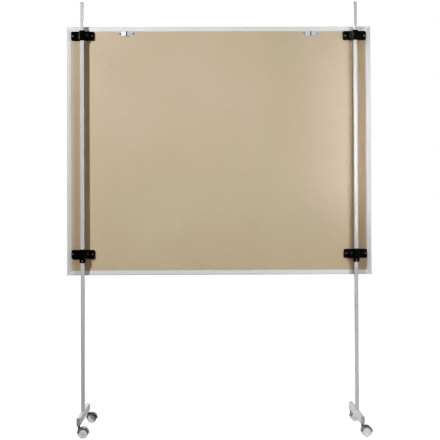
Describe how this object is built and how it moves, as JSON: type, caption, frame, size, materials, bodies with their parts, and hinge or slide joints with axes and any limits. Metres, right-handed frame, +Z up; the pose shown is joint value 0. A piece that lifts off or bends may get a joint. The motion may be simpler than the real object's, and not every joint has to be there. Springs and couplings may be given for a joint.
{
  "type": "mobile planning board",
  "caption": "Tall framed planning board with a hardboard back, clamped at an adjustable height to square posts on tube feet with swivel castors.",
  "frame": {"origin": "on the floor, midway between the two feet and at the middle of their length", "axes": "+Z up; +Y out of the white writing face, so the bare back faces -Y; +X to the right as seen from behind"},
  "size_m": [1.5, 0.5, 2.1],
  "materials": {
    "anodised_aluminium": "satin anodised",
    "key_metal": "cast",
    "hardboard": "fine speckle, matt",
    "core_board": "matt",
    "white_enamel": "gloss",
    "zinc_plate": "bright zinc",
    "brass": "turned",
    "steel": "plain",
    "black_plastic": "semi-gloss moulded",
    "grey_paint": "satin powder coat",
    "grey_plastic": "matt moulded",
    "wheel_plastic": "matt moulded"
  },
  "bodies": {
    "stand": {"post_plugs": "steel", "post_bolts": "steel", "castor_stems": "steel", "left_post": "grey_paint", "left_post_cap": "grey_plastic", "left_foot": "grey_paint", "back_left_foot_cap": "grey_plastic", "front_left_foot_cap": "grey_plastic", "right_post": "grey_paint", "right_post_cap": "grey_plastic", "right_foot": "grey_paint", "back_right_foot_cap": "grey_plastic", "front_right_foot_cap": "grey_plastic"},
    "board": {"top_rail": "anodised_aluminium", "bottom_rail": "anodised_aluminium", "left_rail": "anodised_aluminium", "right_rail": "anodised_aluminium", "corner_keys": "key_metal", "back_panel": "hardboard", "core_panel": "core_board", "writing_sheet": "white_enamel", "board_screws": "zinc_plate", "clamp_inserts": "brass", "left_hanger": "zinc_plate", "right_hanger": "zinc_plate", "upper_left_clamp": "black_plastic", "lower_left_clamp": "black_plastic", "upper_right_clamp": "black_plastic", "lower_right_clamp": "black_plastic"},
    "left_collar": {"left_stop_collar": "black_plastic", "left_collar_screw": "steel"},
    "upper_left_knob": {"upper_left_knob": "black_plastic", "upper_left_knob_stud": "steel"},
    "lower_left_knob": {"lower_left_knob": "black_plastic", "lower_left_knob_stud": "steel"},
    "back_left_castor": {"back_left_castor_hood": "grey_plastic", "back_left_castor_axle": "steel"},
    "back_left_outer_wheel": {"back_left_outer_wheel": "wheel_plastic"},
    "back_left_inner_wheel": {"back_left_inner_wheel": "wheel_plastic"},
    "front_left_castor": {"front_left_castor_hood": "grey_plastic", "front_left_castor_axle": "steel"},
    "front_left_outer_wheel": {"front_left_outer_wheel": "wheel_plastic"},
    "front_left_inner_wheel": {"front_left_inner_wheel": "wheel_plastic"},
    "front_left_brake_pedal": {"front_left_brake_pedal": "grey_plastic"},
    "right_collar": {"right_stop_collar": "black_plastic", "right_collar_screw": "steel"},
    "upper_right_knob": {"upper_right_knob": "black_plastic", "upper_right_knob_stud": "steel"},
    "lower_right_knob": {"lower_right_knob": "black_plastic", "lower_right_knob_stud": "steel"},
    "back_right_castor": {"back_right_castor_hood": "grey_plastic", "back_right_castor_axle": "steel"},
    "back_right_outer_wheel": {"back_right_outer_wheel": "wheel_plastic"},
    "back_right_inner_wheel": {"back_right_inner_wheel": "wheel_plastic"},
    "front_right_castor": {"front_right_castor_hood": "grey_plastic", "front_right_castor_axle": "steel"},
    "front_right_outer_wheel": {"front_right_outer_wheel": "wheel_plastic"},
    "front_right_inner_wheel": {"front_right_inner_wheel": "wheel_plastic"},
    "front_right_brake_pedal": {"front_right_brake_pedal": "grey_plastic"}
  },
  "joints": [
    {"name": "board_height", "type": "slide", "parent": "stand", "child": "board", "axis": [0, 0, 1], "range_m": [-0.6, 0.12]},
    {"name": "left_collar_slide", "type": "slide", "parent": "board", "child": "left_collar", "axis": [0, 0, 1], "range_m": [-0.12, 0]},
    {"name": "upper_left_knob_turn", "type": "hinge", "parent": "board", "child": "upper_left_knob", "pos_m": [-0.6713, -0.025, 1.9357], "axis": [1, 0, 0], "range_deg": [0, 720]},
    {"name": "lower_left_knob_turn", "type": "hinge", "parent": "board", "child": "lower_left_knob", "pos_m": [-0.6713, -0.025, 0.861], "axis": [1, 0, 0], "range_deg": [0, 720]},
    {"name": "back_left_castor_swivel", "type": "hinge", "parent": "stand", "child": "back_left_castor", "pos_m": [-0.6713, -0.226, 0.059], "axis": [0, 0, 1], "continuous": true},
    {"name": "back_left_outer_wheel_roll", "type": "hinge", "parent": "back_left_castor", "child": "back_left_outer_wheel", "pos_m": [-0.6513, -0.226, 0.0245], "axis": [0, 1, 0], "continuous": true},
    {"name": "back_left_inner_wheel_roll", "type": "hinge", "parent": "back_left_castor", "child": "back_left_inner_wheel", "pos_m": [-0.6513, -0.226, 0.0245], "axis": [0, 1, 0], "continuous": true},
    {"name": "front_left_castor_swivel", "type": "hinge", "parent": "stand", "child": "front_left_castor", "pos_m": [-0.6713, 0.226, 0.059], "axis": [0, 0, 1], "continuous": true},
    {"name": "front_left_outer_wheel_roll", "type": "hinge", "parent": "front_left_castor", "child": "front_left_outer_wheel", "pos_m": [-0.6513, 0.226, 0.0245], "axis": [0, 1, 0], "continuous": true},
    {"name": "front_left_inner_wheel_roll", "type": "hinge", "parent": "front_left_castor", "child": "front_left_inner_wheel", "pos_m": [-0.6513, 0.226, 0.0245], "axis": [0, 1, 0], "continuous": true},
    {"name": "front_left_brake_pedal_press", "type": "hinge", "parent": "front_left_castor", "child": "front_left_brake_pedal", "pos_m": [-0.63407, 0.226, 0.02601], "axis": [0, 1, 0], "range_deg": [0, 12]},
    {"name": "right_collar_slide", "type": "slide", "parent": "board", "child": "right_collar", "axis": [0, 0, 1], "range_m": [-0.12, 0]},
    {"name": "upper_right_knob_turn", "type": "hinge", "parent": "board", "child": "upper_right_knob", "pos_m": [0.6713, -0.025, 1.9357], "axis": [-1, 0, 0], "range_deg": [0, 720]},
    {"name": "lower_right_knob_turn", "type": "hinge", "parent": "board", "child": "lower_right_knob", "pos_m": [0.6713, -0.025, 0.861], "axis": [-1, 0, 0], "range_deg": [0, 720]},
    {"name": "back_right_castor_swivel", "type": "hinge", "parent": "stand", "child": "back_right_castor", "pos_m": [0.6713, -0.226, 0.059], "axis": [0, 0, 1], "continuous": true},
    {"name": "back_right_outer_wheel_roll", "type": "hinge", "parent": "back_right_castor", "child": "back_right_outer_wheel", "pos_m": [0.6913, -0.226, 0.0245], "axis": [0, 1, 0], "continuous": true},
    {"name": "back_right_inner_wheel_roll", "type": "hinge", "parent": "back_right_castor", "child": "back_right_inner_wheel", "pos_m": [0.6913, -0.226, 0.0245], "axis": [0, 1, 0], "continuous": true},
    {"name": "front_right_castor_swivel", "type": "hinge", "parent": "stand", "child": "front_right_castor", "pos_m": [0.6713, 0.226, 0.059], "axis": [0, 0, 1], "continuous": true},
    {"name": "front_right_outer_wheel_roll", "type": "hinge", "parent": "front_right_castor", "child": "front_right_outer_wheel", "pos_m": [0.6913, 0.226, 0.0245], "axis": [0, 1, 0], "continuous": true},
    {"name": "front_right_inner_wheel_roll", "type": "hinge", "parent": "front_right_castor", "child": "front_right_inner_wheel", "pos_m": [0.6913, 0.226, 0.0245], "axis": [0, 1, 0], "continuous": true},
    {"name": "front_right_brake_pedal_press", "type": "hinge", "parent": "front_right_castor", "child": "front_right_brake_pedal", "pos_m": [0.70853, 0.226, 0.02601], "axis": [0, 1, 0], "range_deg": [0, 12]}
  ]
}
